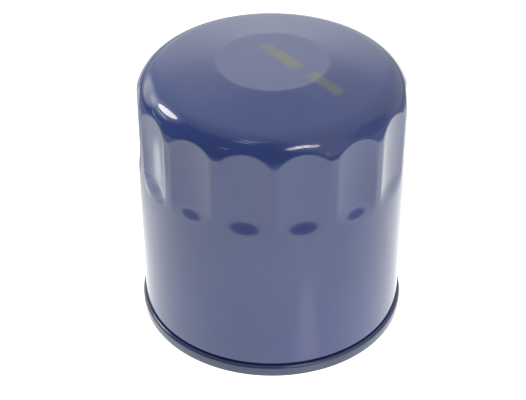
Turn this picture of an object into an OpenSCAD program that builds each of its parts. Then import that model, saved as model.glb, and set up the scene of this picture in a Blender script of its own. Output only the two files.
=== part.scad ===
// Spin-on oil filter, in millimetres, as it stands on its gasket: the mounting side is at the bottom and the
// closed end of the can is at the top. The origin is the centre of the gasket's sealing face, with +Z along the axis.

/* [Can] */
// Outside diameter of the can's wall
can_d = 76; // [75:0.5:77]
// Height from the gasket's sealing face to the flat middle of the closed end
can_h = 82.2; // [82:0.1:86]
// Thickness of the can's sheet
can_t = 0.45; // [0.4:0.05:0.5]
// Radius of the shoulder between the wall and the closed end
shoulder_r = 8.6; // [7.5:0.1:9.5]
// Diameter of the flat middle of the closed end
disc_d = 31; // [29:0.5:33]
// Rise of the shallow cone from the shoulder up to the flat middle
crown_rise = 2.2; // [1.5:0.1:2.6]

/* [Wrench flutes] */
// Number of flutes round the can
flute_count = 15; // [14:1:16]
// Depth of a flute at its middle
flute_depth = 1; // [0.95:0.05:1.3]
// Height of the flutes' lower end
flute_low = 51; // [46:0.5:53]
// Height of the ramp at the flutes' lower end
flute_ramp = 4; // [4:0.5:7]

/* [Lock seam] */
// Thickness of the seaming lid's sheet
lid_t = 0.45; // [0.4:0.05:0.45]
// Height of the gasket's face below the seam
gasket_stand = 1.5; // [1.2:0.1:1.8]
// Height of the lock seam
seam_h = 2.8; // [2.7:0.1:3.2]

/* [Mounting side] */
// Radius of the tapped hole, at the crests of an M20 x 1.5 thread
thread_r = 9.25; // [9:0.05:9.4]
// Thickness of the base plate
plate_t = 3.2; // [3:0.1:3.6]
// Number of inlet holes
inlet_count = 8; // [6:1:10]
// Diameter of an inlet hole
inlet_d = 6.2; // [5:0.1:6.6]
// Outside diameter of the gasket
gasket_od = 71; // [70:0.5:71.5]
// Inside diameter of the gasket
gasket_id = 62; // [62:0.5:63]

/* [Element] */
// Outside diameter of the pleats
pleat_od = 63.2; // [62:0.2:63.4]
// Inside diameter of the pleats
pleat_id = 34.8; // [34.4:0.2:36]
// Number of pleats
pleat_count = 48; // [40:1:52]
// Thickness of the filter paper
paper_t = 0.7; // [0.5:0.05:0.8]
// Height of the filter paper
paper_h = 46.7; // [46:0.1:47]

/* [Springs] */
// Wire diameter of the spring that holds the element down
element_wire = 2.2; // [1.8:0.1:2.4]
// Wire diameter of the bypass valve's spring
bypass_wire = 1.2; // [1:0.1:1.3]

/* [Hidden] */
$fn = 180;
CURVE_STEPS = 5;        // straight steps in each bend of a sheet
SHOULDER_STEPS = 10;    // straight steps round the can's shoulder
GAP = 0.02;             // gap between two pieces that touch

// Lock seam: five plies side by side, from the lid's chuck wall out to its seaming wall.
can_r = can_d / 2;
ply = max(can_t, lid_t) + GAP;
seaming_wall_r = can_r + 0.9 - lid_t / 2;
body_hook_r = seaming_wall_r - ply;
cover_hook_r = body_hook_r - ply;
neck_r = cover_hook_r - ply;
chuck_wall_r = neck_r - ply;
seam_low = gasket_stand + lid_t / 2;
seam_top = gasket_stand + seam_h - lid_t / 2;
body_fold_z = seam_low + 0.9;
neck_low = gasket_stand + seam_h + 0.3;
neck_top = neck_low + 0.8;
join_z = neck_top + 8;

// Closed end of the can.
shoulder_z = can_h - crown_rise - shoulder_r;
shoulder_c = can_r - shoulder_r;
crown_slope = atan2(crown_rise, shoulder_c - disc_d / 2);

// Flutes: their flat floors meet at the ridges.
flute_half = 180 / flute_count;
flute_turn = 0.5 + flute_half;      // one ridge is half a degree right of the front
die_w = 20;

// Mounting side.
channel_z = 5.125;                  // middle of the lid's sheet above the gasket
channel_r = gasket_id / 2 - 0.15 - lid_t / 2;
rib_r = 28.2;
rib_z = 2.4;
lid_hole_r = 24.6;
plate_z = channel_z + lid_t / 2 + GAP;
plate_top = plate_z + plate_t;
plate_r = 36.8;
boss_r = 14.8;
boss_top = plate_top + 2;
neck_d = 24.8;
thread_chamfer = 1.1;
neck_z = plate_top + 6.2;
inlet_circle_r = 19.5;
gasket_h = channel_z - lid_t / 2 - GAP;

// Anti-drain valve: a collar on the base plate's boss, with a conical flap over the inlet holes.
collar_r = 15.2;
collar_low = boss_top + GAP;
collar_top = collar_low + 3.6;
lip_r = 26.8;

// Element.
cap_t = 0.45;
cap_r = 32.6;                       // middle of the end caps' rims
cap_rim = 4;
lower_cap_z = collar_top + GAP + cap_t / 2;
potting_t = 1.7;
paper_z = lower_cap_z + cap_t / 2 + potting_t;
paper_top = paper_z + paper_h;
upper_cap_z = paper_top + potting_t + cap_t / 2;
tube_r = 16.6;
tube_rows = 9;
tube_holes = 8;
tube_hole_d = 4.2;

// Bypass valve, below the port in the upper end cap.
port_r = 7.2;
seat_r = 12.2;
seat_z = upper_cap_z - 3.6;
seat_flange_z = upper_cap_z + cap_t;
cage_r = seat_r + cap_t + GAP;
cage_floor = seat_z - 15.6;
poppet_r = 9;
seal_t = 1.2;
poppet_t = 2;
stem_r = 2;
seal_top = seat_z - cap_t / 2 - GAP;
poppet_top = seal_top - seal_t;
poppet_low = poppet_top - poppet_t;
bypass_coils = 5;
bypass_coil_r = 6.2;

// Spring between the closed end and the element.
element_coils = 4;
element_coil_r = 12.9;
element_spring_low = seat_flange_z + cap_t / 2 + GAP;
element_spring_top = can_h - can_t - GAP;

PAINT = "#3f4a86";
STEEL = "#b9bcc0";
TIN = "#c9c8c2";
ZINC = "#bfc4b0";
RUBBER = "#1c1c1e";
SILICONE = "#c5562b";
PAPER = "#e3d3a4";
PLASTISOL = "#d9c9a0";
NYLON = "#e6e2d6";
SPRING_STEEL = "#8d9095";

// ---- Helpers ----

function unit(v) = v / norm(v);
function left_of(v) = [-v[1], v[0]];
function turned(v, a) = [v[0] * cos(a) - v[1] * sin(a), v[0] * sin(a) + v[1] * cos(a)];

// Points along a bend of radius rb at corner b, each with the sheet's left normal there.
function bend(a, b, c, rb) =
    let (u = unit(b - a), w = unit(c - b))
    let (turn = atan2(u[0] * w[1] - u[1] * w[0], u * w))
    let (side = turn > 0 ? 1 : -1)
    let (start = b - u * rb * tan(abs(turn) / 2))
    let (centre = start + left_of(u) * side * rb)
    [for (k = [0:CURVE_STEPS])
        let (n = turned(left_of(u), turn * k / CURVE_STEPS))
        [centre - n * side * rb, n]];

function corner(p) = [p[0], p[1]];

// The sheet's middle line, from its corners [r, z, bend radius].
function middle_line(path) =
    let (last = len(path) - 1)
    concat(
        [[corner(path[0]), left_of(unit(corner(path[1]) - corner(path[0])))]],
        [for (i = [1:1:last - 1])
            each bend(corner(path[i - 1]), corner(path[i]), corner(path[i + 1]), path[i][2])],
        [[corner(path[last]), left_of(unit(corner(path[last]) - corner(path[last - 1])))]]
    );

// Sheet metal of thickness t, spun round the Z axis along its middle line.
module spun_sheet(path, t) {
    line = middle_line(path);
    one_side = [for (p = line) p[0] + p[1] * t / 2];
    other_side = [for (i = [len(line) - 1:-1:0]) line[i][0] - line[i][1] * t / 2];
    rotate_extrude()
        polygon(concat(one_side, other_side));
}

// A plain ring of rectangular section.
module ring(outer_r, inner_r, z, h) {
    translate([0, 0, z])
        rotate_extrude()
            translate([inner_r, 0])
                square([outer_r - inner_r, h]);
}

// A compression spring with closed ends, standing from low to top.
module coil_spring(coil_r, wire, coils, low, top) {
    sides = 10;
    per_turn = 28;
    steps = coils * per_turn;
    pitch_closed = wire + 0.05;
    rise = top - low - wire - 2 * pitch_closed;
    // Height of the wire's middle after t turns: one closed turn, the open ones, one closed turn.
    function wire_z(t) =
        low + wire / 2 + pitch_closed * min(t, 1) + pitch_closed * max(0, t - coils + 1)
        + rise * min(max((t - 1) / (coils - 2), 0), 1);
    points = [
        for (i = [0:steps])
            let (t = i / per_turn, a = 360 * t)
            for (k = [0:sides - 1])
                let (b = 360 * k / sides, r = coil_r + wire / 2 * cos(b))
                [r * cos(a), r * sin(a), wire_z(t) + wire / 2 * sin(b)]
    ];
    side_faces = [
        for (i = [0:steps - 1], k = [0:sides - 1])
            let (n = (k + 1) % sides)
            each [
                [i * sides + k, i * sides + n, (i + 1) * sides + n],
                [i * sides + k, (i + 1) * sides + n, (i + 1) * sides + k],
            ]
    ];
    start_face = [for (k = [sides - 1:-1:0]) k];
    end_face = [for (k = [0:sides - 1]) steps * sides + k];
    polyhedron(points = points, faces = concat([start_face], side_faces, [end_face]));
}

// ---- Can and lock seam ----

// Outline of the can's upper part, taken in by inset, from the wall up to the middle of the closed end.
function can_outline(inset) = concat(
    [[can_r - inset, join_z]],
    [for (k = [0:SHOULDER_STEPS])
        let (a = (90 - crown_slope) * k / SHOULDER_STEPS)
        [shoulder_c, shoulder_z] + (shoulder_r - inset) * [cos(a), sin(a)]],
    [[disc_d / 2, can_h - inset]]
);

// The can's upper part as a solid, taken in by inset all round.
module can_block(inset) {
    difference() {
        rotate_extrude()
            polygon(concat(can_outline(inset), [[0, can_h - inset], [0, join_z]]));
        for (i = [0:flute_count - 1])
            rotate([0, 0, -90 + flute_turn + i * 2 * flute_half])
                flute_die(inset);
    }
}

// The flat-faced die that presses one flute, with a ramp at its lower end.
module flute_die(inset) {
    face = can_r - flute_depth - inset;
    ramp_z = flute_ramp / flute_depth;      // height of the ramp for each millimetre of depth
    rotate([90, 0, 0])
        linear_extrude(die_w, center = true)
            polygon([
                [face, flute_low + flute_ramp],
                [face + 2 * flute_depth, flute_low + flute_ramp - 2 * flute_depth * ramp_z],
                [2 * can_r, flute_low - flute_ramp],
                [2 * can_r, 2 * can_h],
                [face, 2 * can_h],
            ]);
}

module can() {
    color(PAINT) {
        difference() {
            can_block(0);
            can_block(can_t);
        }
        spun_sheet([
            [body_hook_r, seam_top - lid_t / 2 - 0.3],
            [body_hook_r, body_fold_z, ply / 2 - GAP / 4],
            [neck_r, body_fold_z, ply / 2 - GAP / 4],
            [neck_r, neck_low, 0.6],
            [can_r - can_t / 2, neck_top, 0.6],
            [can_r - can_t / 2, join_z],
        ], can_t);
    }
}

module seaming_lid() {
    color(PAINT)
        spun_sheet([
            [cover_hook_r, body_fold_z + can_t / 2 + 0.3],
            [cover_hook_r, seam_top, ply - 0.02],
            [seaming_wall_r, seam_top, ply - 0.02],
            [seaming_wall_r, seam_low, 0.6],
            [chuck_wall_r, seam_low, 0.6],
            [chuck_wall_r, channel_z, 0.6],
            [channel_r, channel_z, 0.5],
            [channel_r, rib_z, 0.8],
            [rib_r, rib_z, 0.8],
            [rib_r, channel_z, 0.5],
            [lid_hole_r, channel_z],
        ], lid_t);
}

// Sealing compound in the fold of the lock seam, under the can's body hook.
module seam_compound() {
    low = seam_low + lid_t / 2 + GAP;
    color(RUBBER)
        ring(body_hook_r - 0.05, neck_r + 0.25, low, body_fold_z - can_t / 2 - GAP - low);
}

// ---- Mounting side ----

module base_plate() {
    chamfer = 0.6;
    color(ZINC)
        difference() {
            rotate_extrude()
                polygon([
                    [thread_r + thread_chamfer, plate_z],
                    [plate_r - chamfer, plate_z],
                    [plate_r, plate_z + chamfer],
                    [plate_r, plate_top - chamfer],
                    [plate_r - chamfer, plate_top],
                    [boss_r + chamfer, plate_top],
                    [boss_r, plate_top + chamfer],
                    [boss_r, boss_top],
                    [neck_d / 2, boss_top],
                    [neck_d / 2, neck_z - chamfer],
                    [neck_d / 2 - chamfer, neck_z],
                    [thread_r, neck_z],
                    [thread_r, plate_z + thread_chamfer],
                ]);
            for (i = [0:inlet_count - 1])
                rotate([0, 0, (i + 0.5) * 360 / inlet_count])
                    translate([inlet_circle_r, 0, plate_z - 1])
                        cylinder(d = inlet_d, h = plate_t + 2);
        }
}

module gasket() {
    edge = 0.5;
    outer = gasket_od / 2;
    inner = gasket_id / 2;
    color(RUBBER)
        rotate_extrude()
            polygon([
                [inner + edge, 0],
                [outer - edge, 0],
                [outer, edge],
                [outer, gasket_h - edge],
                [outer - edge, gasket_h],
                [inner + edge, gasket_h],
                [inner, gasket_h - edge],
                [inner, edge],
            ]);
}

module anti_drain_valve() {
    root_low = collar_low + 0.3;
    root_top = root_low + 1.5;
    lip_low = plate_top + GAP;
    color(SILICONE)
        rotate_extrude()
            polygon([
                [neck_d / 2 + 0.05, collar_low],
                [collar_r - 0.3, collar_low],
                [collar_r, root_low],
                [lip_r - 1.4, lip_low + 0.35],
                [lip_r - 0.9, lip_low],
                [lip_r - 0.2, lip_low],
                [lip_r, lip_low + 0.4],
                [lip_r - 0.6, lip_low + 1.2],
                [collar_r + 0.9, root_top],
                [collar_r, root_top + 0.7],
                [collar_r, collar_top - 0.3],
                [collar_r - 0.3, collar_top],
                [neck_d / 2 + 0.35, collar_top],
                [neck_d / 2 + 0.05, collar_top - 0.3],
            ]);
}

// ---- Element ----

module lower_end_cap() {
    color(TIN)
        spun_sheet([
            [neck_d / 2 + 0.5, lower_cap_z],
            [cap_r, lower_cap_z, 0.6],
            [cap_r, lower_cap_z + cap_rim],
        ], cap_t);
}

module upper_end_cap() {
    color(TIN)
        spun_sheet([
            [cage_r + 0.8, upper_cap_z],
            [cap_r, upper_cap_z, 0.6],
            [cap_r, upper_cap_z - cap_rim],
        ], cap_t);
}

module potting(z) {
    inner = tube_r + cap_t / 2 + GAP;
    outer = cap_r - cap_t / 2 - 0.5;
    color(PLASTISOL)
        ring(outer, inner, z, potting_t);
}

module lower_potting() {
    potting(lower_cap_z + cap_t / 2);
}

module upper_potting() {
    potting(paper_top);
}

module centre_tube() {
    low = lower_cap_z + cap_t / 2 + GAP;
    top = upper_cap_z - cap_t / 2 - GAP;
    spacing = (top - low) / (tube_rows + 1);
    color(TIN)
        difference() {
            ring(tube_r + cap_t / 2, tube_r - cap_t / 2, low, top - low);
            for (row = [1:tube_rows], i = [0:tube_holes - 1])
                translate([0, 0, low + row * spacing])
                    rotate([0, 90, (i + (row % 2) / 2) * 360 / tube_holes])
                        translate([0, 0, tube_r - 2])
                            cylinder(d = tube_hole_d, h = 4);
        }
}

// One side of the pleated paper: its fold at each outer radius, then at each inner radius.
function pleat_side(outer_r, inner_r, outer_half, inner_half) = [
    for (i = [0:pleat_count - 1])
        let (a = i * 360 / pleat_count, b = (i + 0.5) * 360 / pleat_count)
        each [
            turned([outer_r, -outer_half], a),
            turned([outer_r, outer_half], a),
            turned([inner_r, -inner_half], b),
            turned([inner_r, inner_half], b),
        ]
];

module filter_media() {
    outer = pleat_od / 2;
    inner = pleat_id / 2;
    narrow = 0.08;
    wide = narrow + paper_t * 0.7;
    color(PAPER)
        translate([0, 0, paper_z])
            difference() {
                linear_extrude(paper_h)
                    polygon(pleat_side(outer, inner + paper_t, wide, narrow));
                translate([0, 0, -1])
                    linear_extrude(paper_h + 2)
                        polygon(pleat_side(outer - paper_t, inner, narrow, wide));
            }
}

// Steel clip that closes the paper's seam, over the fold at angle 0.
module media_clip() {
    clip_t = 0.3;
    inside_half = 0.9;
    outside = pleat_od / 2 + 0.1;
    leg = 5.5;
    color(STEEL)
        translate([0, 0, paper_z + 0.2])
            difference() {
                translate([outside - leg, -inside_half - clip_t, 0])
                    cube([leg + clip_t, 2 * (inside_half + clip_t), paper_h - 0.4]);
                translate([outside - leg - 1, -inside_half, -1])
                    cube([leg + 1, 2 * inside_half, paper_h + 2]);
            }
}

// ---- Bypass valve ----

module bypass_seat() {
    color(STEEL)
        spun_sheet([
            [seat_r + 3.2, seat_flange_z],
            [seat_r, seat_flange_z, 0.5],
            [seat_r, seat_z, 0.5],
            [port_r, seat_z],
        ], cap_t);
}

module bypass_cage() {
    window = [40, 8, 8];
    color(STEEL)
        difference() {
            spun_sheet([
                [cage_r, upper_cap_z - cap_t],
                [cage_r, cage_floor, 0.8],
                [stem_r + 0.3, cage_floor],
            ], cap_t);
            for (a = [45, 135])
                rotate([0, 0, a])
                    translate([0, 0, cage_floor + 6.5])
                        cube(window, center = true);
        }
}

module bypass_poppet() {
    spigot_r = bypass_coil_r - bypass_wire / 2 - 0.4;
    stem_low = cage_floor - 2.5;
    rim = 0.4;
    color(NYLON)
        rotate_extrude()
            polygon([
                [0, stem_low],
                [stem_r - rim, stem_low],
                [stem_r, stem_low + rim],
                [stem_r, poppet_low - 3],
                [spigot_r - rim, poppet_low - 2],
                [spigot_r, poppet_low],
                [poppet_r - rim, poppet_low],
                [poppet_r, poppet_low + rim],
                [poppet_r, poppet_top],
                [4, poppet_top],
                [4, seal_top - 0.2],
                [3, seal_top + 0.4],
                [0, seal_top + 0.4],
            ]);
}

module bypass_seal() {
    color(RUBBER)
        ring(poppet_r, 4 + GAP, poppet_top + GAP, seal_t - GAP);
}

module bypass_spring() {
    color(SPRING_STEEL)
        coil_spring(bypass_coil_r, bypass_wire, bypass_coils, cage_floor + cap_t / 2 + GAP, poppet_low - GAP);
}

module element_spring() {
    color(SPRING_STEEL)
        coil_spring(element_coil_r, element_wire, element_coils, element_spring_low, element_spring_top);
}

can();
seaming_lid();
seam_compound();
base_plate();
gasket();
anti_drain_valve();
lower_end_cap();
lower_potting();
centre_tube();
filter_media();
media_clip();
upper_potting();
upper_end_cap();
bypass_seat();
bypass_cage();
bypass_poppet();
bypass_seal();
bypass_spring();
element_spring();
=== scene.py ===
import math

import bmesh
import bpy
import numpy as np
from mathutils import Matrix, Vector


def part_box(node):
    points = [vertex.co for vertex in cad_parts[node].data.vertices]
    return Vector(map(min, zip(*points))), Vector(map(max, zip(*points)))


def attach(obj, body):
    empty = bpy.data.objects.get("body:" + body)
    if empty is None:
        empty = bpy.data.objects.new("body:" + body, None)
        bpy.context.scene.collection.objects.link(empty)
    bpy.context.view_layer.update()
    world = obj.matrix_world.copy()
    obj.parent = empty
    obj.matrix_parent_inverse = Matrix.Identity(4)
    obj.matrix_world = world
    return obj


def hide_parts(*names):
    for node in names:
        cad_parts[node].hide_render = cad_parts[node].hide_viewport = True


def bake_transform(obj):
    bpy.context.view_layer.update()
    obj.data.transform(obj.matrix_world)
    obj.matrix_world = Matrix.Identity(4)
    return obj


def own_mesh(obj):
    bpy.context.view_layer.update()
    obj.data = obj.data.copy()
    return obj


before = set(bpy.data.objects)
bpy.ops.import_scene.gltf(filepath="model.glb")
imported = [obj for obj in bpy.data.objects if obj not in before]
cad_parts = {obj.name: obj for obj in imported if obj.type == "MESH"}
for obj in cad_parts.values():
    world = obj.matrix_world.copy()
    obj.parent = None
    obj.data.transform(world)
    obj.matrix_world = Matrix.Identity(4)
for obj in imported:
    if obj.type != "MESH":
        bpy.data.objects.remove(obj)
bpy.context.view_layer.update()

# ---- Sizes, in metres, read from the frame where it has them ----

MM = 0.001


def low(node):
    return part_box(node)[0].z


def top(node):
    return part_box(node)[1].z


def outer(node):
    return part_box(node)[1].x


SHEET = 0.45 * MM                       # steel sheet of the can, the lid and the end caps
GAP = 0.02 * MM                         # gap between two pieces that touch
WALL_R = outer("seaming_lid") - 0.9 * MM
CROWN_Z = top("can")
CROWN_RISE = 2.2 * MM                   # from the shoulder up to the flat middle
SHOULDER_R = 8.6 * MM
DISC_R = 15.5 * MM                      # flat middle of the closed end
CREASE_R = 5 * MM                       # bend at the edge of the flat middle
SHOULDER_C = WALL_R - SHOULDER_R
SHOULDER_Z = CROWN_Z - CROWN_RISE - SHOULDER_R

FLUTES = 15
FLUTE_STEP = math.radians(360 / FLUTES)
FLUTE_TURN = math.radians(0.5)          # one ridge is half a degree right of the front
FLUTE_DEPTH = 1.25 * MM                 # at the middle of a flute
SCOOP_R = 33 * MM                       # hollow of a flute, across it
FLUTE_LOW = 49.4 * MM                   # the run-out ramp starts here
FLUTE_RAMP = 6.2 * MM
FLUTE_SINKS = 0.15                      # share of the ramp's shape that is the whole floor, sinking

# Lock seam: five plies, from the lid's chuck wall out to its seaming wall.
PLY = SHEET + GAP
SEAMING_WALL = outer("seaming_lid") - SHEET / 2
BODY_HOOK = SEAMING_WALL - PLY
COVER_HOOK = BODY_HOOK - PLY
NECK = COVER_HOOK - PLY
CHUCK_WALL = NECK - PLY
SEAM_LOW = low("seaming_lid") + SHEET / 2
SEAM_TOP = top("seaming_lid") - 0.2 * MM - SHEET / 2
BODY_FOLD = SEAM_LOW + 0.9 * MM
NECK_LOW = SEAM_TOP + SHEET / 2 + 0.12 * MM
NECK_TOP = NECK_LOW + 0.6 * MM

# Mounting side.
CHANNEL_Z = low("base_plate") - GAP - SHEET / 2
CHANNEL_R = 30.625 * MM
RIB_R = 28.2 * MM
RIB_Z = 2.4 * MM
LID_HOLE = 24.6 * MM
PLATE_LOW = low("base_plate")
PLATE_TOP = PLATE_LOW + 3.2 * MM
PLATE_R = outer("base_plate")
BOSS_R = 14.8 * MM
BOSS_TOP = PLATE_TOP + 2 * MM
PLATE_NECK = 12.4 * MM                  # outside of the neck that the valve's collar sits on
BORE_R = 9.25 * MM
THREAD_DEPTH = 0.75 * MM
THREAD_PITCH = 1.5 * MM
PLATE_NECK_TOP = top("base_plate")
INLETS = 8
INLET_CIRCLE = 19.5 * MM
INLET_R = 3.1 * MM

# Element.
CAP_R = 32.6 * MM                       # middle of the end caps' rims
LOWER_CAP = low("lower_end_cap") + SHEET / 2
UPPER_CAP = top("upper_end_cap") - SHEET / 2
CAP_RIM = 4 * MM
PLEATS = 48
PLEAT_OUTER = 31.6 * MM
PLEAT_INNER = 17.4 * MM
PAPER = 0.6 * MM
FOLD_R = 0.5 * MM                       # middle of the paper, round a fold
TUBE_R = 16.6 * MM

# Bypass valve.
PORT_R = 7.2 * MM
SEAT_R = 12.2 * MM
CAGE_R = SEAT_R + SHEET + GAP
CAGE_FLOOR = low("bypass_cage") + SHEET / 2
SEAT_FLANGE = top("bypass_seat") - SHEET / 2
SEAT_Z = low("bypass_seat") + SHEET / 2
POPPET_R = 9 * MM
STEM_R = 2 * MM

# ---- Meshes ----


def unit(v):
    return v / np.linalg.norm(v)


def eased(t):
    """Smooth step from 0 to 1."""
    return t * t * (3 - 2 * t)


def left(v):
    return np.array([-v[1], v[0]])


def turned(v, a):
    return np.array([v[0] * math.cos(a) - v[1] * math.sin(a), v[0] * math.sin(a) + v[1] * math.cos(a)])


def bends(corners, closed=False, step=math.radians(9)):
    """Points and left normals along a path of (x, y, bend radius) corners."""
    count = len(corners)
    places = [np.array(corner[:2], float) for corner in corners]
    points, normals = [], []
    for i, corner in enumerate(corners):
        here = places[i]
        if not closed and i in (0, count - 1):
            other = places[1] - here if i == 0 else here - places[-2]
            points.append(here)
            normals.append(left(unit(other)))
            continue
        into = unit(here - places[i - 1])
        out = unit(places[(i + 1) % count] - here)
        turn = math.atan2(into[0] * out[1] - into[1] * out[0], into @ out)
        side = math.copysign(1, turn)
        start = here - into * corner[2] * math.tan(abs(turn) / 2)
        centre = start + left(into) * side * corner[2]
        pieces = max(2, math.ceil(abs(turn) / step)) if corner[2] else 0
        for k in range(pieces + 1):
            normal = turned(left(into), turn * k / pieces if pieces else turn / 2)
            points.append(centre - normal * side * corner[2] if pieces else here)
            normals.append(normal)
    return np.array(points), np.array(normals)


def sheet(corners, thickness=SHEET):
    """Section of a bent sheet: a closed loop round its middle line."""
    points, normals = bends(corners)
    half = normals * thickness / 2
    return np.vstack([points + half, (points - half)[::-1]])


def divided(loop, step):
    """Adds points along a closed loop, so that none are further apart than step."""
    points = []
    for i, here in enumerate(loop):
        gap = loop[(i + 1) % len(loop)] - here
        pieces = max(1, math.ceil(np.linalg.norm(gap) / step))
        points += [here + gap * k / pieces for k in range(pieces)]
    return np.array(points)


def solid(corners):
    """Section of a solid piece, with its corners rounded."""
    return bends(corners, closed=True, step=math.radians(15))[0]


def mesh_object(name, verts, faces, smooth_below=34):
    """A mesh with its faces turned outward, smooth where they meet at less than so many degrees."""
    mesh = bpy.data.meshes.new(name)
    mesh.from_pydata(verts.tolist(), [], faces)
    shaped = bmesh.new()
    shaped.from_mesh(mesh)
    bmesh.ops.recalc_face_normals(shaped, faces=shaped.faces)
    shaped.to_mesh(mesh)
    shaped.free()
    mesh.polygons.foreach_set("use_smooth", [True] * len(mesh.polygons))
    mesh.set_sharp_from_angle(angle=math.radians(smooth_below))
    obj = bpy.data.objects.new(name, mesh)
    bpy.context.scene.collection.objects.link(obj)
    return obj


def skin(name, sections, ring, smooth_below=34):
    """Joins closed sections in order. A ring joins its last to its first; otherwise both ends get a face."""
    stations, count = sections.shape[:2]
    faces = []
    for i in range(stations if ring else stations - 1):
        here, there = i * count, (i + 1) % stations * count
        for j in range(count):
            k = (j + 1) % count
            faces.append((here + j, here + k, there + k, there + j))
    if not ring:
        faces.append(tuple(range(count)))
        faces.append(tuple(range((stations - 1) * count, stations * count)))
    return mesh_object(name, sections.reshape(-1, 3), faces, smooth_below)


def spin(name, loop, segments=216, change=None, smooth_below=34):
    """Revolves a closed loop of (r, z) round the Z axis. change(angle, r, z) may move the points of each
    section. The angle runs from the front, towards the right."""
    angle = np.arange(segments) * 2 * math.pi / segments
    a, r = np.meshgrid(angle, loop[:, 0], indexing="ij")
    z = np.meshgrid(angle, loop[:, 1], indexing="ij")[1]
    if change:
        r, z = change(a, r, z)
    return skin(name, np.stack([r * np.sin(a), -r * np.cos(a), z], -1), True, smooth_below)


def cap(name, loop, segments=216, change=None, smooth_below=34):
    """As spin, for a loop that starts and ends on the axis."""
    obj = spin(name, loop, segments, change, smooth_below)
    shaped = bmesh.new()
    shaped.from_mesh(obj.data)
    bmesh.ops.remove_doubles(shaped, verts=shaped.verts, dist=1e-7)
    inner = [f for f in shaped.faces if all(v.co.xy.length < 1e-6 for v in f.verts)]
    bmesh.ops.delete(shaped, geom=inner, context="FACES")
    bmesh.ops.recalc_face_normals(shaped, faces=shaped.faces)
    shaped.to_mesh(obj.data)
    shaped.free()
    obj.data.set_sharp_from_angle(angle=math.radians(smooth_below))
    return obj


def extrude(name, loop, levels):
    """A closed loop of (x, y), drawn up through the levels of z."""
    sections = [np.column_stack([loop, np.full(len(loop), z)]) for z in levels]
    return skin(name, np.array(sections), False)


def coil(name, radius, wire, turns, foot, head):
    """A compression spring with closed and ground ends, standing from foot to head."""
    sides, per_turn = 16, 56
    t = np.linspace(0, turns, turns * per_turn + 1)
    opening = np.clip((t - 0.7) / 0.6, 0, 1) * np.clip((turns - 0.7 - t) / 0.6, 0, 1)
    opening = eased(opening)
    share = np.concatenate([[0], np.cumsum((opening[1:] + opening[:-1]) / 2)])
    closed = wire + 0.05 * MM
    ground = 0.15 * wire
    rise = head - foot - 2 * ground - closed * turns
    middle = foot + ground + closed * t + rise * share / share[-1]
    a = (t * 2 * math.pi)[:, None]
    b = (np.arange(sides) * 2 * math.pi / sides)[None, :]
    r = radius + wire / 2 * np.cos(b)
    z = np.clip(middle[:, None] + wire / 2 * np.sin(b), foot, head)
    return skin(name, np.stack([r * np.cos(a), r * np.sin(a), z], -1), False, 60)


def cut(obj, cutter, smooth_below=34):
    """Takes the cutter's closed shells out of a piece."""
    modifier = obj.modifiers.new("cut", "BOOLEAN")
    modifier.operation = "DIFFERENCE"
    modifier.solver = "EXACT"
    modifier.object = cutter
    graph = bpy.context.evaluated_depsgraph_get()
    shaped = bpy.data.meshes.new_from_object(obj.evaluated_get(graph))
    obj.modifiers.clear()
    obj.data = shaped
    bpy.data.objects.remove(cutter)
    shaped.set_sharp_from_angle(angle=math.radians(smooth_below))
    return obj


def cutters(places, loop, sides=40):
    """Round tools: a loop of (r, height) revolved about the Z axis of each place, a 4 x 4 matrix."""
    a = np.arange(sides) * 2 * math.pi / sides
    count = len(loop)
    verts, faces = [], []
    for place in places:
        first = len(verts)
        for angle in a:
            for r, z in loop:
                verts.append(place @ Vector((r * math.cos(angle), r * math.sin(angle), z)))
        for i in range(sides):
            here, there = first + i * count, first + (i + 1) % sides * count
            faces += [(here + j, here + j + 1, there + j + 1, there + j) for j in range(count - 1)]
        for j in (0, count - 1):
            faces.append(tuple(first + i * count + j for i in range(sides)))
    return mesh_object("cutter", np.array(verts), faces)


def settle(obj, body, material, slot, *nodes):
    """Gives a piece its material and its body, and hides the CAD nodes that it stands for."""
    obj.data.materials.clear()
    obj.data.materials.append(material)
    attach(obj, body)
    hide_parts(*nodes)


# ---- Node materials ----


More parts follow.
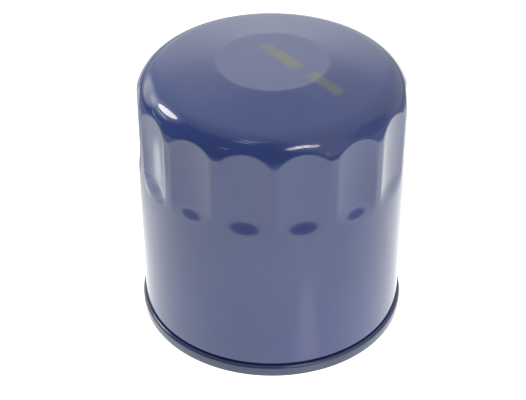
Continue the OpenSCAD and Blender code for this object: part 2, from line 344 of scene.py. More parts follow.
class Shader:
    """A node material with one Principled shader, and short calls for the nodes round it."""

    def __init__(self, name, **sockets):
        self.material = bpy.data.materials.new(name)
        self.material.use_nodes = True
        self.tree = self.material.node_tree
        self.surface = self.tree.nodes["Principled BSDF"]
        self.place = self.tree.nodes.new("ShaderNodeTexCoord").outputs["Object"]
        for socket, value in sockets.items():
            self.surface.inputs[socket.replace("_", " ")].default_value = value

    def put(self, source, socket):
        """Links a source to a socket of the shader."""
        self.tree.links.new(source, self.surface.inputs[socket])

    def node(self, kind, *sources, **settings):
        """A new node, with sources linked to its inputs in order."""
        made = self.tree.nodes.new("ShaderNode" + kind)
        for key, value in settings.items():
            setattr(made, key, value)
        for i, source in enumerate(sources):
            self.tree.links.new(source, made.inputs[i])
        return made

    def math(self, operation, a, b=None):
        made = self.node("Math", operation=operation)
        for i, value in enumerate((a, b)):
            if isinstance(value, (int, float)):
                made.inputs[i].default_value = value
            elif value is not None:
                self.tree.links.new(value, made.inputs[i])
        return made.outputs[0]

    def noise(self, scale, detail=2, roughness=0.5, stretch=(1, 1, 1)):
        """Noise with about scale features to the metre."""
        spread = self.node("Mapping", self.place)
        spread.inputs["Scale"].default_value = [scale * s for s in stretch]
        made = self.node("TexNoise", spread.outputs[0])
        made.inputs["Scale"].default_value = 1
        made.inputs["Detail"].default_value = detail
        made.inputs["Roughness"].default_value = roughness
        return made.outputs[0]

    def between(self, source, low_in, high_in, low_out=0, high_out=1, kind="SMOOTHSTEP"):
        """Maps low_in..high_in to low_out..high_out, and holds the ends beyond."""
        made = self.node("MapRange", source, interpolation_type=kind)
        for i, value in enumerate((low_in, high_in, low_out, high_out)):
            made.inputs[i + 1].default_value = value
        return made.outputs[0]

    def mix(self, factor, a, b):
        made = self.node("Mix", data_type="RGBA")
        for i, value in zip((0, 6, 7), (factor, a, b)):
            if isinstance(value, tuple):
                made.inputs[i].default_value = (*value, 1)
            elif isinstance(value, (int, float)):
                made.inputs[i].default_value = value
            else:
                self.tree.links.new(value, made.inputs[i])
        return made.outputs[2]

    def bump(self, height, distance, before=None):
        made = self.node("Bump")
        made.inputs["Distance"].default_value = distance
        self.tree.links.new(height, made.inputs["Height"])
        if before:
            self.tree.links.new(before, made.inputs["Normal"])
        return made.outputs[0]

    def radius(self):
        """Distance from the Z axis."""
        parts = self.node("SeparateXYZ", self.place)
        squares = [self.math("MULTIPLY", parts.outputs[i], parts.outputs[i]) for i in (0, 1)]
        return self.math("SQRT", self.math("ADD", *squares))

    def turning_marks(self, scale):
        """Fine rings about the Z axis, as a lathe or a spinning die leaves them."""
        height = self.node("SeparateXYZ", self.place).outputs[2]
        across = self.math("ADD", self.radius(), height)
        made = self.node("TexNoise", noise_dimensions="1D")
        made.inputs["Scale"].default_value = scale
        made.inputs["Detail"].default_value = 3
        self.tree.links.new(across, made.inputs["W"])
        return made.outputs[0]


CAN_DEEP, CAN_LIGHT = (0.0205, 0.038, 0.152), (0.0240, 0.044, 0.170)
LID_DEEP, LID_LIGHT = (0.019, 0.034, 0.092), (0.022, 0.039, 0.110)
PAINT_SPECK = (0.06, 0.075, 0.16)
MARKER = (0.098, 0.106, 0.066)
BARE_STEEL = (0.50, 0.50, 0.49)
MARKER_STROKES = (                      # middle, turn, length and width of each
    ((2.4 * MM, 2.9 * MM), math.radians(-50), 16 * MM, 3.6 * MM),
    ((13.9 * MM, -10.7 * MM), math.radians(-49), 11 * MM, 3.4 * MM),
)


def marker_stroke(paint, middle, turn, length, width):
    """Mask of one worn stroke of a paint marker on the closed end, seen from above."""
    spread = paint.node("Mapping", paint.place, vector_type="TEXTURE")
    spread.inputs["Location"].default_value = (*middle, 0)
    spread.inputs["Rotation"].default_value = (0, 0, turn)
    parts = paint.node("SeparateXYZ", spread.outputs[0])
    ragged = paint.between(paint.noise(160, 2), 0.3, 0.7, -0.25, 0.25, "LINEAR")
    mask = None
    for i, size in ((0, length), (1, width)):
        edge = paint.math("DIVIDE", paint.math("ABSOLUTE", parts.outputs[i]), size / 2)
        edge = paint.math("ADD", edge, paint.math("MULTIPLY", ragged, width / size))
        soft = 0.55 * width / size
        side = paint.between(edge, 1 - soft, 1 + soft, 1, 0)
        mask = paint.math("MULTIPLY", mask, side) if mask else side
    return mask


def enamel(name, deep, light, marked=False, bare_inside=0):
    """Glossy enamel over pressed steel, between two tones in soft patches. Nearer the axis than bare_inside
    the steel is bare."""
    paint = Shader(name, IOR=1.6)
    patches = paint.between(paint.noise(45, 3), 0.35, 0.65)
    color = paint.mix(patches, deep, light)
    specks = paint.between(paint.noise(2600, 1), 0.70, 0.78, 0, 0.25)
    color = paint.mix(specks, color, PAINT_SPECK)
    rough = paint.between(paint.noise(160, 4), 0.3, 0.75, 0.04, 0.065, "LINEAR")
    if marked:
        strokes = [marker_stroke(paint, *stroke) for stroke in MARKER_STROKES]
        strokes = paint.math("MAXIMUM", *strokes)
        worn = paint.between(paint.noise(130, 2, 0.5), 0.3, 0.7, 0.5, 0.8)
        cover = paint.math("MULTIPLY", strokes, worn)
        color = paint.mix(cover, color, MARKER)
        rough = paint.math("ADD", rough, paint.math("MULTIPLY", cover, 0.2))
    peel = paint.bump(paint.noise(380, 2), 0.004 * MM)
    if bare_inside:
        ragged = paint.between(paint.noise(300, 4), 0.3, 0.7, -0.4 * MM, 0.4 * MM, "LINEAR")
        reach = paint.math("ADD", paint.radius(), ragged)
        bare = paint.between(reach, bare_inside, bare_inside + 0.4 * MM, 1, 0)
        color = paint.mix(bare, color, BARE_STEEL)
        rough = paint.math("ADD", rough, paint.math("MULTIPLY", bare, 0.25))
        paint.put(bare, "Metallic")
        peel = paint.bump(paint.turning_marks(1500), 0.004 * MM, peel)
    paint.put(color, "Base Color")
    paint.put(rough, "Roughness")
    paint.put(peel, "Normal")
    return paint.material


def metal(name, bright, dull, rough, marks=0, grain=900):
    """Bare or plated metal, with cloudy patches and the rings that turning or spinning leaves."""
    made = Shader(name, Metallic=1.0)
    clouds = made.between(made.noise(140, 4, 0.6), 0.32, 0.7)
    fine = made.noise(grain, 3, 0.6)
    made.put(made.mix(clouds, bright, dull), "Base Color")
    spread = made.between(fine, 0.3, 0.7, -0.06, 0.08, "LINEAR")
    patchy = made.between(clouds, 0, 1, rough, rough + 0.12, "LINEAR")
    made.put(made.math("ADD", spread, patchy), "Roughness")
    normal = made.bump(fine, 0.003 * MM)
    if marks:
        normal = made.bump(made.turning_marks(marks), 0.006 * MM, normal)
    made.put(normal, "Normal")
    return made.material


def moulded(name, color, shade, rough, grain=700, depth=0.01):
    """Rubber, silicone, plastic or compound, with a fine skin and small changes of colour."""
    made = Shader(name)
    clouds = made.between(made.noise(110, 4, 0.6), 0.3, 0.7)
    fine = made.noise(grain, 4, 0.6)
    made.put(made.mix(clouds, color, shade), "Base Color")
    made.put(made.between(fine, 0.3, 0.7, rough - 0.07, rough + 0.1, "LINEAR"), "Roughness")
    made.put(made.bump(fine, depth * MM), "Normal")
    return made.material


def paper(name):
    """Resin-treated filter paper: fibres, darker flecks and faint rolled ribs."""
    made = Shader(name, Roughness=0.9, Specular_IOR_Level=0.25)
    fibres = made.noise(1800, 5, 0.7, (1, 1, 0.35))
    color = made.mix(made.between(fibres, 0.35, 0.65), (0.60, 0.45, 0.22), (0.74, 0.60, 0.36))
    flecks = made.between(made.noise(3200, 2), 0.66, 0.76)
    made.put(made.mix(flecks, color, (0.38, 0.25, 0.10)), "Base Color")
    height = made.node("SeparateXYZ", made.place).outputs[2]
    ribs = made.math("SINE", made.math("MULTIPLY", height, 2 * math.pi / (1.1 * MM)))
    made.put(made.bump(ribs, 0.02 * MM, made.bump(fibres, 0.03 * MM)), "Normal")
    return made.material


# ---- The can ----


def smooth_least(a, b, width):
    """The smaller of a and b, rounded where they cross."""
    h = np.clip(0.5 + 0.5 * (b - a) / width, 0, 1)
    return b * (1 - h) + a * h - width * h * (1 - h)


def flute_floor(angle, sunk):
    """Radius of the hollow floor of the nearest flute, at an angle, when it is sunk this deep."""
    across = (angle - FLUTE_TURN) % FLUTE_STEP - FLUTE_STEP / 2
    beside = WALL_R * np.sin(across)
    return (WALL_R - sunk + beside * beside / (2 * SCOOP_R)) / np.cos(across)


def press_flutes(angle, r, z):
    """Pushes the can's wall in at the flutes. The shoulder above them cuts their floors off in arches. Over
    the ramp at the foot of a flute, its floor partly sinks as it is and partly grows deeper."""
    t = eased(np.clip((z - FLUTE_LOW) / FLUTE_RAMP, 0, 1))
    full = flute_floor(angle, FLUTE_DEPTH)
    sinking = smooth_least(flute_floor(angle, FLUTE_DEPTH * t), WALL_R, 0.2 * MM)
    growing = WALL_R - (WALL_R - full) * t
    floor = np.where(t < 1, FLUTE_SINKS * sinking + (1 - FLUTE_SINKS) * growing, full)
    high = np.interp(z, [SHOULDER_Z - 4 * MM, SHOULDER_Z + 2 * MM], [0, 1])
    rounding = (0.04 + 0.12 * t + 0.2 * high) * MM
    pressed = smooth_least(r, floor, rounding)
    reached = (z > FLUTE_LOW) & (r > WALL_R - 3 * MM)
    return np.where(reached, pressed, r), z


def on_shoulder(angles, radius=SHOULDER_R):
    """Points of the shoulder's arc, at angles up from the horizontal."""
    return [(SHOULDER_C + radius * math.cos(a), SHOULDER_Z + radius * math.sin(a)) for a in angles]


def can_section():
    """Outside of the can, from the middle of the closed end down to the seam, then back up inside. Also the
    number of the first point inside."""
    tangent = math.pi / 2 - math.atan2(CROWN_RISE, SHOULDER_C - DISC_R)
    fine_below = math.radians(42)       # the flutes' arches need more rows from here down
    path = [(r, CROWN_Z) for r in np.linspace(0, DISC_R - 1.2 * MM, 5)]
    foot = np.array(on_shoulder([tangent])[0])
    edge = np.array([DISC_R, CROWN_Z])
    crease, _ = bends([(0, CROWN_Z, 0), (*edge, CREASE_R), (*foot, 0)], step=math.radians(1.5))
    path += [tuple(p) for p in crease[1:-1]]
    path += [tuple(edge + (foot - edge) * k) for k in np.linspace(0.12, 1, 6)]
    path += on_shoulder(np.linspace(tangent, fine_below, 16)[1:])
    path += on_shoulder(np.linspace(fine_below, 0, 38)[1:])
    ramp_top = FLUTE_LOW + FLUTE_RAMP
    path += [(WALL_R, z) for z in np.linspace(SHOULDER_Z, ramp_top, 7)[1:]]
    path += [(WALL_R, z) for z in np.linspace(ramp_top, FLUTE_LOW, 20)[1:]]
    path += [(WALL_R, z) for z in np.linspace(FLUTE_LOW, NECK_TOP + 2 * MM, 8)[1:]]
    rim, normals = bends([
        (WALL_R - SHEET / 2, NECK_TOP + 2 * MM, 0),
        (WALL_R - SHEET / 2, NECK_TOP, 0.6 * MM),
        (NECK, NECK_LOW, 0.6 * MM),
        (NECK, BODY_FOLD, PLY / 2 - GAP / 4),
        (BODY_HOOK, BODY_FOLD, PLY / 2 - GAP / 4),
        (BODY_HOOK, SEAM_TOP - SHEET / 2 - 0.5 * MM, 0),
    ])
    half = normals * SHEET / 2
    path += [tuple(p) for p in (rim + half)[1:]]
    first_inside = len(path)
    path += [tuple(p) for p in (rim - half)[::-1]]
    path += [(WALL_R - SHEET, z) for z in (FLUTE_LOW, FLUTE_LOW + FLUTE_RAMP / 2, ramp_top, SHOULDER_Z)]
    path += on_shoulder(np.linspace(0, tangent, 12)[1:], SHOULDER_R - SHEET)
    path += [(DISC_R, CROWN_Z - SHEET), (0, CROWN_Z - SHEET)]
    return np.array(path), first_inside


def make_can():
    section, first_inside = can_section()

    def press(angle, r, z):
        """The inside of the sheet follows its outside, one thickness in."""
        inside = np.arange(len(section)) >= first_inside
        outer_r, _ = press_flutes(angle, r, z)
        inner_r = press_flutes(angle, r + SHEET, z)[0] - SHEET
        return np.where(inside, inner_r, outer_r), z

    can = cap("can_shell", section, segments=FLUTES * 35, change=press, smooth_below=50)
    paint = enamel("can_enamel", CAN_DEEP, CAN_LIGHT, marked=True)
    settle(can, "housing", paint, "blue_enamel", "can")


def make_lid():
    """Lid ring: from its hook in the seam, over the seaming wall, down the chuck wall and in to the plate's
    hole. The sealing compound lies in the hook's fold."""
    section = sheet([
        (COVER_HOOK, BODY_FOLD + SHEET / 2 + 0.3 * MM, 0),
        (COVER_HOOK, SEAM_TOP, 0.24 * MM),
        (SEAMING_WALL, SEAM_TOP, 0.69 * MM),
        (SEAMING_WALL, SEAM_LOW, 0.6 * MM),
        (CHUCK_WALL, SEAM_LOW, 0.6 * MM),
        (CHUCK_WALL, CHANNEL_Z, 0.6 * MM),
        (CHANNEL_R, CHANNEL_Z, 0.5 * MM),
        (CHANNEL_R, RIB_Z, 0.8 * MM),
        (RIB_R, RIB_Z, 0.8 * MM),
        (RIB_R, CHANNEL_Z, 0.5 * MM),
        (LID_HOLE, CHANNEL_Z, 0),
    ])
    lid = spin("lid_ring", section, segments=360)
    paint = enamel("lid_enamel", LID_DEEP, LID_LIGHT, bare_inside=CHUCK_WALL)
    settle(lid, "housing", paint, "blue_enamel", "seaming_lid")
    low_z, high_z = low("seam_compound"), top("seam_compound")
    bead = 0.12 * MM
    compound = solid([
        (outer("seam_compound"), low_z, bead),
        (outer("seam_compound"), high_z, bead),
        (NECK + 0.25 * MM, high_z, bead),
        (NECK + 0.25 * MM, low_z, bead),
    ])
    ring = spin("seam_compound_ring", compound, segments=360)
    rubber = moulded("seam_rubber", (0.02, 0.03, 0.025), (0.03, 0.04, 0.03), 0.55)
    settle(ring, "housing", rubber, "seam_rubber", "seam_compound")


# ---- Mounting side ----


def cut_thread(angle, r, z):
    """Right-hand thread in the plate's bore. The chamfers at its ends fade it out."""
    turn = ((z - THREAD_PITCH * angle / (2 * math.pi)) / THREAD_PITCH) % 1
    groove = eased(np.clip((np.abs(2 * turn - 1) - 0.18) / 0.66, 0, 1))
    threaded = np.maximum(r, BORE_R + THREAD_DEPTH * groove)
    return np.where(r < BORE_R + 0.9 * MM, threaded, r), z


def make_plate():
    """Tapped plate: a disc with a stepped boss, a threaded bore with chamfered ends, and a ring of inlets."""
    edge = 0.6 * MM
    entry = 1.1 * MM
    body = bends([
        (BORE_R + entry, PLATE_LOW, 0),
        (PLATE_R - edge, PLATE_LOW, 0.2 * MM),
        (PLATE_R, PLATE_LOW + edge, 0.2 * MM),
        (PLATE_R, PLATE_TOP - edge, 0.3 * MM),
        (PLATE_R - edge, PLATE_TOP, 0.3 * MM),
        (BOSS_R + edge, PLATE_TOP, 0.4 * MM),
        (BOSS_R, PLATE_TOP + edge, 0.3 * MM),
        (BOSS_R, BOSS_TOP, 0.3 * MM),
        (PLATE_NECK, BOSS_TOP, 0.1 * MM),
        (PLATE_NECK, PLATE_NECK_TOP - edge, 0.2 * MM),
        (PLATE_NECK - edge, PLATE_NECK_TOP, 0.2 * MM),
        (BORE_R + 0.8 * MM, PLATE_NECK_TOP, 0),
    ])[0]
    levels = int((PLATE_NECK_TOP - PLATE_LOW) / THREAD_PITCH * 22)
    bore_z = np.linspace(PLATE_NECK_TOP, PLATE_LOW, levels)[1:-1]
    bore_r = BORE_R + np.maximum(
        np.clip(entry - (bore_z - PLATE_LOW), 0, None),
        np.clip(0.8 * MM - (PLATE_NECK_TOP - bore_z), 0, None),
    )
    plate = spin("tapped_plate", np.vstack([body, np.column_stack([bore_r, bore_z])]), 240, cut_thread, 50)
    lip = 0.35 * MM
    over = 1 * MM
    hole = [
        (INLET_R + lip + over, PLATE_LOW - over),
        (INLET_R, PLATE_LOW + lip),
        (INLET_R, PLATE_TOP - lip),
        (INLET_R + lip + over, PLATE_TOP + over),
    ]
    places = [
        Matrix.Rotation(2 * math.pi * (i + 0.5) / INLETS, 4, "Z")
        @ Matrix.Translation((INLET_CIRCLE, 0, 0))
        for i in range(INLETS)
    ]
    cut(plate, cutters(places, hole), 50)
    zinc = metal("zinc_steel", (0.66, 0.66, 0.60), (0.52, 0.54, 0.50), 0.28, marks=1400)
    settle(plate, "housing", zinc, "zinc_steel", "base_plate")


def make_gasket():
    """Square-cut ring with rounded edges and two shallow grooves in its sealing face."""
    r0, r1 = 31 * MM, outer("gasket")
    z0, z1 = 0, top("gasket")
    edge = 0.5 * MM
    groove = 0.25 * MM
    path = [(r1, z1, edge), (r0, z1, edge), (r0, z0, edge)]
    for share in (0.34, 0.66):
        r = r0 + (r1 - r0) * share
        path += [(r - 0.5 * MM, z0, 0.15 * MM), (r, z0 + groove, 0.2 * MM), (r + 0.5 * MM, z0, 0.15 * MM)]
    path += [(r1, z0, edge)]
    gasket = spin("gasket_ring", solid(path), segments=288)
    rubber = moulded("black_rubber", (0.012, 0.012, 0.013), (0.02, 0.02, 0.021), 0.48)
    settle(gasket, "housing", rubber, "black_rubber", "gasket")


def make_anti_drain_valve():
    """Collar on the plate's boss, and a thin conical flap with a bead at its lip."""
    collar_r, lip_r = 15.2 * MM, outer("anti_drain_valve")
    collar_low, collar_top = BOSS_TOP + GAP, top("anti_drain_valve")
    inner_r = PLATE_NECK + 0.05 * MM
    lip_low = PLATE_TOP + GAP
    root = collar_low + 0.3 * MM
    section = solid([
        (inner_r, collar_low, 0.1 * MM),
        (collar_r - 0.1 * MM, collar_low, 0.2 * MM),
        (collar_r + 0.3 * MM, root, 0.8 * MM),
        (lip_r - 1.5 * MM, lip_low + 0.35 * MM, 0.6 * MM),
        (lip_r - 0.9 * MM, lip_low, 0.3 * MM),
        (lip_r - 0.15 * MM, lip_low, 0.3 * MM),
        (lip_r, lip_low + 0.5 * MM, 0.25 * MM),
        (lip_r - 0.6 * MM, lip_low + 1.2 * MM, 0.4 * MM),
        (collar_r + 0.9 * MM, root + 1.5 * MM, 0.9 * MM),
        (collar_r, root + 2.2 * MM, 0.5 * MM),
        (collar_r, collar_top, 0.35 * MM),
        (inner_r, collar_top, 0.35 * MM),
    ])
    valve = spin("anti_drain_ring", divided(section, 0.5 * MM), segments=240)
    silicone = moulded("silicone", (0.56, 0.14, 0.04), (0.48, 0.10, 0.03), 0.42, depth=0.006)
    valve.data.materials.append(silicone)
    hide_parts("anti_drain_valve")
    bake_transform(valve)


# ---- Element ----


def make_end_caps(tin):
    """Pans that the potting and the pleats stand in, with a hole in the middle of each."""
    hem = 0.35 * MM
    lower = spin("lower_cap_pan", sheet([
        (PLATE_NECK + 0.5 * MM, LOWER_CAP, 0),
        (PLATE_NECK + 2.5 * MM, LOWER_CAP, 1 * MM),
        (CAP_R, LOWER_CAP, 0.6 * MM),
        (CAP_R, LOWER_CAP + CAP_RIM - hem, 1 * MM),
        (CAP_R, LOWER_CAP + CAP_RIM, 0),
    ]))
    settle(lower, "housing", tin, "tinplate", "lower_end_cap")
    upper = spin("upper_cap_pan", sheet([
        (CAGE_R + 0.8 * MM, UPPER_CAP, 0),
        (CAP_R, UPPER_CAP, 0.6 * MM),
        (CAP_R, UPPER_CAP - CAP_RIM, 0),
    ]))
    settle(upper, "housing", tin, "tinplate", "upper_end_cap")


def make_potting():
    """Cured plastisol between the caps and the pleats, with a slightly hollow, uneven top."""
    plastisol = moulded("plastisol", (0.60, 0.47, 0.27), (0.68, 0.56, 0.36), 0.6, grain=400, depth=0.03)
    inner, outer_r = TUBE_R + SHEET / 2 + GAP, CAP_R - SHEET / 2 - 0.5 * MM

    def settle_level(angle, r, z):
        dip = 0.06 * MM * (np.sin(7 * angle + r * 900) + np.sin(23 * angle))
        return r, np.where(np.abs(z - face) < 0.3 * MM, z - np.abs(dip) * inward, z)

    for node, inward in (("lower_potting", 1), ("upper_potting", -1)):
        z0, z1 = low(node), top(node)
        face = z1 if inward > 0 else z0
        section = divided(solid([
            (outer_r, z0, 0.2 * MM),
            (outer_r, z1, 0.2 * MM),
            (inner, z1, 0.2 * MM),
            (inner, z0, 0.2 * MM),
        ]), 1 * MM)
        ring = spin(node + "_ring", section, change=settle_level)
        settle(ring, "housing", plastisol, "plastisol", node)


def make_paper():
    """One closed band of paper, pleated round the tube with rounded folds."""
    step = 2 * math.pi / PLEATS
    arc = np.radians(np.linspace(-90, 90, 9))
    middle, normals = [], []
    for i in range(PLEATS):
        out = np.array([math.cos(i * step), math.sin(i * step)])
        between = np.array([math.cos((i + 0.5) * step), math.sin((i + 0.5) * step)])
        for a in arc:
            normal = turned(out, a)
            middle.append(out * (PLEAT_OUTER - PAPER / 2 - FOLD_R) + normal * FOLD_R)
            normals.append(normal)
        for a in arc:
            normal = turned(between, -a)
            middle.append(between * (PLEAT_INNER + PAPER / 2 + FOLD_R) - normal * FOLD_R)
            normals.append(normal)
    middle, normals = np.array(middle), np.array(normals)
    z0, z1 = low("filter_media"), top("filter_media")
    around = [(1, z) for z in np.linspace(z0, z1, 9)] + [(-1, z) for z in np.linspace(z1, z0, 9)]
    sections = [
        np.column_stack([middle + normals * side * PAPER / 2, np.full(len(middle), z)])
        for side, z in around
    ]
    band = skin("pleated_band", np.transpose(np.array(sections), (1, 0, 2)), True, 50)
    settle(band, "housing", paper("filter_paper"), "filter_paper", "filter_media")


def make_clip():
    """Folded steel clip over the fold where the paper's two ends meet."""
    thin = 0.3 * MM
    half = 0.9 * MM + thin / 2
    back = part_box("media_clip")[1].x - thin / 2
    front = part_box("media_clip")[0].x
    section = sheet([
        (front, -half, 0),
        (back, -half, 0.35 * MM),
        (back, half, 0.35 * MM),
        (front, half, 0),
    ], thin)
    levels = np.linspace(low("media_clip"), top("media_clip"), 9)
    clip = extrude("seam_clip", section, levels)
    steel = metal("clip_steel", (0.56, 0.57, 0.58), (0.46, 0.47, 0.49), 0.3)
    settle(clip, "housing", steel, "pressed_steel", "media_clip")


def make_tube(tin):
    """Perforated tube, with its holes in staggered rows. Their outer edges are chamfered."""
    z0, z1 = low("centre_tube"), top("centre_tube")
    rows, per_row, hole_r = 9, 8, 2.1 * MM
    r0, r1 = TUBE_R - SHEET / 2, TUBE_R + SHEET / 2
    levels = np.linspace(z0, z1, 3 * rows + 4)
    wall = [(r1, z) for z in levels] + [(r0, z) for z in levels[::-1]]
    tube = spin("perforated_tube", np.array(wall))
    reach, flare = 2 * MM, 0.15 * MM
    punch = [
        (hole_r, r0 - reach),
        (hole_r, r1 - flare),
        (hole_r + flare, r1),
        (hole_r + flare + reach, r1 + reach),
    ]
    spacing = (z1 - z0) / (rows + 1)
    places = [
        Matrix.Translation((0, 0, z0 + row * spacing))
        @ Matrix.Rotation(2 * math.pi * (i + (row % 2) / 2) / per_row, 4, "Z")
        @ Matrix.Rotation(math.pi / 2, 4, "Y")
        for row in range(1, rows + 1)
        for i in range(per_row)
    ]
    cut(tube, cutters(places, punch, 28), 40)
    settle(tube, "housing", tin, "tinplate", "centre_tube")


# ---- Bypass valve ----


def make_bypass_valve():
    """Seat and cage, which stay, and the poppet with its ring, which slide down together."""
    steel = metal("pressed_steel", (0.58, 0.59, 0.61), (0.46, 0.47, 0.50), 0.26, marks=1600)
    seat = spin("bypass_seat_ring", sheet([
        (SEAT_R + 3.2 * MM, SEAT_FLANGE, 0),
        (SEAT_R, SEAT_FLANGE, 0.5 * MM),
        (SEAT_R, SEAT_Z, 0.5 * MM),
        (PORT_R, SEAT_Z, 0),
    ]))
    settle(seat, "housing", steel, "pressed_steel", "bypass_seat")

    cage = spin("bypass_cage_cup", divided(sheet([
        (CAGE_R, top("bypass_cage"), 0),
        (CAGE_R, CAGE_FLOOR, 0.8 * MM),
        (STEM_R + 0.3 * MM, CAGE_FLOOR, 0),
    ]), 0.8 * MM))
    window = solid([
        (side_y * 4 * MM, side_z * 4 * MM, 1 * MM)
        for side_y, side_z in ((1, 1), (-1, 1), (-1, -1), (1, -1))
    ])
    for angle in (45, 135):
        turn = Matrix.Rotation(math.radians(angle), 4, "Z")
        place = Matrix.Translation((0, 0, CAGE_FLOOR + 6.5 * MM)) @ turn
        ends = [[place @ Vector((x, y, z)) for y, z in window] for x in (-20 * MM, 20 * MM)]
        cut(cage, skin("cutter", np.array(ends), False))
    settle(cage, "housing", steel, "pressed_steel", "bypass_cage")

    poppet_low = top("bypass_spring") + GAP
    poppet_top = low("bypass_seal") - GAP
    poppet_end = top("bypass_poppet")
    spigot_r = 5.2 * MM                 # centres the spring
    peg_r = 4 * MM                      # holds the rubber ring
    foot = low("bypass_poppet")
    outline = bends([
        (0, foot, 0),
        (STEM_R - 0.4 * MM, foot, 0.2 * MM),
        (STEM_R, foot + 0.4 * MM, 0.2 * MM),
        (STEM_R, poppet_low - 3 * MM, 0.5 * MM),
        (spigot_r - 0.4 * MM, poppet_low - 2 * MM, 0.3 * MM),
        (spigot_r, poppet_low, 0.1 * MM),
        (POPPET_R - 0.4 * MM, poppet_low, 0.2 * MM),
        (POPPET_R, poppet_low + 0.4 * MM, 0.2 * MM),
        (POPPET_R, poppet_top, 0.1 * MM),
        (peg_r, poppet_top, 0.1 * MM),
        (peg_r, poppet_end - 0.6 * MM, 0.15 * MM),
        (peg_r - 1 * MM, poppet_end, 0.3 * MM),
        (0, poppet_end, 0),
    ])[0]
    nylon = moulded("nylon", (0.72, 0.68, 0.58), (0.66, 0.62, 0.52), 0.38, grain=500, depth=0.004)
    settle(cap("poppet", outline, 144), "bypass_valve", nylon, "nylon", "bypass_poppet")

    z0, z1 = low("bypass_seal"), top("bypass_seal")
    rubber = moulded("seal_rubber", (0.014, 0.014, 0.015), (0.022, 0.022, 0.023), 0.45)
    seal = spin("poppet_seal", solid([
        (POPPET_R, z0, 0.15 * MM),
        (POPPET_R, z1, 0.3 * MM),
        (peg_r + GAP, z1, 0.1 * MM),
        (peg_r + GAP, z0, 0.1 * MM),
    ]), 144)
    settle(seal, "bypass_valve", rubber, "black_rubber", "bypass_seal")


def make_springs():
    """The bypass spring and the spring under the closed end."""
    wire = metal("spring_steel", (0.34, 0.34, 0.36), (0.25, 0.25, 0.27), 0.3, grain=1500)
    foot, head = low("bypass_spring"), top("bypass_spring")
    spring = coil("bypass_spring_coil", 6.2 * MM, 1.2 * MM, 5, foot, head)
    settle(spring, "housing", wire, "spring_steel", "bypass_spring")
    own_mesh(spring)
    foot, head = low("element_spring"), top("element_spring")
    holder = coil("element_spring_coil", 12.9 * MM, 2.2 * MM, 4, foot, head)
    settle(holder, "housing", wire, "spring_steel", "element_spring")


# ---- Studio ----

CAMERA_AT = (-2.6 * MM, -329.4 * MM, 274.9 * MM)
CAMERA_TILT = math.radians(90 - 36.02)
CAMERA_LENS = 95.4
LOOK_AT = Vector((0, 0, CROWN_Z))
LAMP_DISTANCE = 1.2
ROOM_LIGHT = 0.13


def make_camera():
    data = bpy.data.cameras.new("camera")
    data.lens = CAMERA_LENS
    data.sensor_width = 36
    data.clip_start = 0.01
    data.clip_end = 50
    camera = bpy.data.objects.new("camera", data)
    camera.location = CAMERA_AT
    camera.rotation_euler = (CAMERA_TILT, 0, 0)
    bpy.context.scene.collection.objects.link(camera)
    bpy.context.scene.camera = camera


def light_patch(table, middle, turn, across, along):
    """Mask of a patch on the floor, turned by so many degrees. Across and along it, it is full up to one
    distance from its middle and gone at another."""
    place = table.node("Mapping", table.place, vector_type="TEXTURE")
    place.inputs["Location"].default_value = (*middle, 0)
    place.inputs["Rotation"].default_value = (0, 0, math.radians(turn))
    sides = []
    axes = table.node("SeparateXYZ", place.outputs[0]).outputs
    for axis, (full, gone) in zip(axes, (across, along)):
        sides.append(table.between(table.math("ABSOLUTE", axis), full, gone, 1, 0))
    return table.math("MULTIPLY", *sides)


def make_floor():
    """A white table that glows unevenly near the can, with painted shade and painted pools of light. The
    camera sees it evenly white, the can's enamel mirrors its glow, and from below it is clear."""
    size = 4.0
    verts = np.array([(-size, -size, 0), (size, -size, 0), (size, size, 0), (-size, size, 0)])
    floor = mesh_object("floor", verts, [(0, 1, 2, 3)])
    table = Shader("table", Roughness=0.9, Specular_IOR_Level=0.0)
    table.surface.inputs["Base Color"].default_value = (0.3, 0.3, 0.3, 1)
    x, y, _ = table.node("SeparateXYZ", table.place).outputs

    # Painted shade behind the can and to its left, painted light in front and at its right.
    behind = table.between(y, 0, 0.09)
    left_side = table.between(x, -0.01, -0.055)
    painted_shade = table.math("MULTIPLY", behind, left_side)
    painted_shade = table.math("MAXIMUM", painted_shade, table.math("MULTIPLY", table.between(y, 0, 0.15), 0.3))
    light = table.math("SUBTRACT", 1.35, painted_shade)
    light = table.math("ADD", light, table.between(y, -0.03, -0.12, 0, 0.22))
    light = table.math("ADD", light, table.between(x, -0.005, 0.04, 0, 0.12))

    # A painted band of light on both sides of the can, and painted shade beyond it for the dim room.
    aside = table.math("ABSOLUTE", x)
    light = table.math("ADD", light, table.between(aside, 0.09, 0.14, 0, 0.25))
    light = table.math("MULTIPLY", light, table.between(aside, 0.17, 0.27, 1, 0.2))

    # Painted light in a patch in front, which the wall mirrors as a streak, and a painted bright patch and a
    # painted dim one for its left flutes.
    streak = light_patch(table, (0.0205, -0.054), 30, (0.001, 0.009), (0.006, 0.027))
    light = table.math("ADD", light, table.math("MULTIPLY", streak, 0.6))
    beside = light_patch(table, (-0.103, 0.037), 50, (0.004, 0.0175), (0.006, 0.018))
    light = table.math("ADD", light, table.math("MULTIPLY", beside, 1.1))
    dim = light_patch(table, (-0.128, 0.002), 0, (0.008, 0.022), (0.006, 0.024))
    light = table.math("SUBTRACT", light, table.math("MULTIPLY", dim, 0.5))

    # The table's painted light falls off towards the camera.
    light = table.math("MULTIPLY", light, table.between(y, -0.31, -0.155, 0.12, 1))
    seen = table.node("LightPath").outputs["Is Camera Ray"]
    light = table.math("MAXIMUM", light, table.math("MULTIPLY", seen, 1.4))
    # The emission paints the table's light and shade; camera rays see it evenly white.
    table.put(light, "Emission Strength")
    table.put(table.mix(streak, (0.985, 1.0, 0.93), (1.0, 0.94, 0.91)), "Emission Color")
    clear = table.node("BsdfTransparent").outputs[0]
    under = table.node("NewGeometry").outputs["Backfacing"]
    either = table.node("MixShader", under, table.surface.outputs[0], clear)
    table.tree.links.new(either.outputs[0], table.tree.nodes["Material Output"].inputs["Surface"])
    floor.data.materials.append(table.material)


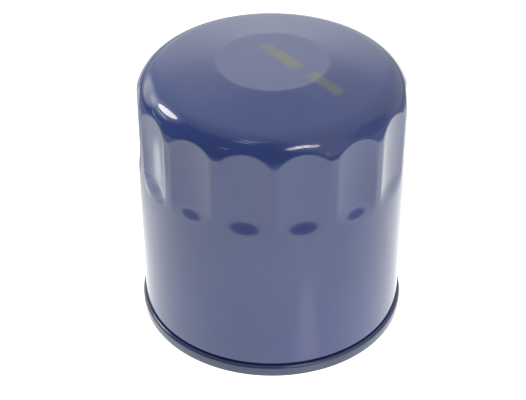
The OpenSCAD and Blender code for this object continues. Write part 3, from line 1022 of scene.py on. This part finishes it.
def make_world():
    """Soft light from the back, the right and above, small lobes of it, and a dim room in front."""
    world = bpy.data.worlds.new("studio")
    bpy.context.scene.world = world
    world.use_nodes = True
    tree = world.node_tree
    tree.nodes.clear()

    def node(kind, *sources, **settings):
        made = tree.nodes.new("ShaderNode" + kind)
        for key, value in settings.items():
            setattr(made, key, value)
        for i, source in enumerate(sources):
            if isinstance(source, bpy.types.NodeSocket):
                tree.links.new(source, made.inputs[i])
            else:
                made.inputs[i].default_value = source
        return made

    def ramp(source, start, end, high):
        return node("MapRange", source, start, end, 0.0, high, interpolation_type="SMOOTHSTEP").outputs[0]

    direction = node("TexCoord").outputs["Generated"]

    def lobe(middle, start, end, strength):
        """Light from round a direction: none at cosine start, all of it at cosine end."""
        facing = node("VectorMath", direction, middle, operation="DOT_PRODUCT").outputs["Value"]
        return ramp(facing, start, end, strength)

    wide = lobe((0.788, 0.616, 0), -0.30, 0.10, 0.74)
    overhead = lobe((0, 0.33, 0.944), 0.70, 0.95, 0.60)
    light = node("Math", wide, overhead, 0.25, operation="SMOOTH_MAX").outputs[0]
    for middle, start, end, strength in (
        ((0, 0.966, 0.259), 0.90, 0.99, 0.58),
        ((0, 0.809, 0.588), 0.972, 0.988, 0.32),
        ((-0.691, 0.668, 0.276), 0.955, 0.992, 1.7),
        ((-0.72, 0.42, 0.55), 0.94, 0.99, 1.2),
        ((0.32, -0.57, 0.755), 0.95, 0.995, 0.5),
        ((0.92, 0, 0.39), 0.90, 0.98, -0.42),
    ):
        light = node("Math", light, lobe(middle, start, end, strength), operation="ADD").outputs[0]
    light = node("Math", light, ROOM_LIGHT, operation="ADD").outputs[0]
    seen = node("Mix", node("LightPath").outputs["Is Camera Ray"], data_type="FLOAT")
    tree.links.new(light, seen.inputs[2])
    seen.inputs[3].default_value = 1.05     # the camera sees an even white
    background = node("Background", (1.0, 1.0, 0.91, 1.0), seen.outputs[0])
    node("OutputWorld", background.outputs[0])


def toward(azimuth, elevation):
    """Direction at degrees from the front, towards the right, and up."""
    a, e = math.radians(azimuth), math.radians(elevation)
    return Vector((math.sin(a) * math.cos(e), -math.cos(a) * math.cos(e), math.sin(e)))


def lamp(name, start, end, across, radiance, color):
    """A lamp round the can, from one (azimuth from the front, elevation) to another, and that many degrees
    across. It is three ellipses, one in the other, which soften its edge."""
    first, last = toward(*start) * LAMP_DISTANCE, toward(*end) * LAMP_DISTANCE
    away = (first + last).normalized()
    along = (last - first).normalized()
    facing = Matrix((along, away.cross(along), away)).transposed().to_4x4()
    for i, (part, share) in enumerate(((1, 0.22), (0.8, 0.33), (0.6, 0.45))):
        data = bpy.data.lights.new(f"{name}_{i}", "AREA")
        data.shape = "ELLIPSE"
        data.size = part * (last - first).length
        data.size_y = part * LAMP_DISTANCE * math.radians(across)
        data.energy = share * radiance * math.pi * math.pi / 4 * data.size * data.size_y
        data.color = color
        obj = bpy.data.objects.new(data.name, data)
        obj.matrix_world = Matrix.Translation(LOOK_AT + (first + last) / 2) @ facing
        obj.visible_camera = False
        bpy.context.scene.collection.objects.link(obj)


def make_lamps():
    warm, pink, cold = (1, 0.95, 0.94), (1, 0.91, 0.94), (0.78, 0.92, 1)
    lamp("left_softbox", (-124.5, 29.5), (-109, 42.5), 13.5, 46, warm)
    lamp("left_softbox_edge", (-130, 18), (-117, 36), 11, 4, pink)
    lamp("left_tube_high", (-117, 24), (-102, 26.5), 1.8, 24, cold)
    lamp("left_tube_low", (-116, 12), (-97, 8), 1.1, 20, cold)
    lamp("front_softbox_left", (13.5, 45.5), (29, 52), 8, 25, pink)
    lamp("front_softbox_middle", (22, 51.5), (38, 50.5), 8.5, 27, pink)
    lamp("front_softbox_right", (33, 52), (42.5, 41), 8, 25, pink)
    lamp("ceiling_tube_far", (-61, 71), (-23, 71), 0.7, 30, cold)
    lamp("ceiling_tube_middle", (-53, 60), (-10, 74), 0.8, 28, cold)
    lamp("ceiling_tube_near", (-47, 61.5), (-22, 64), 0.8, 26, cold)
    lamp("ceiling_tube_low", (-46, 32), (-37, 33.5), 1.6, 14, cold)
    lamp("right_spot", (42, 10), (43.5, 14), 1.6, 9, cold)


make_camera()
make_world()
make_floor()
make_lamps()
make_can()
make_lid()
make_plate()
make_gasket()
make_anti_drain_valve()
tinplate = metal("tinplate", (0.70, 0.70, 0.66), (0.58, 0.58, 0.56), 0.24, marks=1200)
make_end_caps(tinplate)
make_potting()
make_tube(tinplate)
make_paper()
make_clip()
make_bypass_valve()
make_springs()

bpy.context.scene.view_settings.view_transform = "Standard"
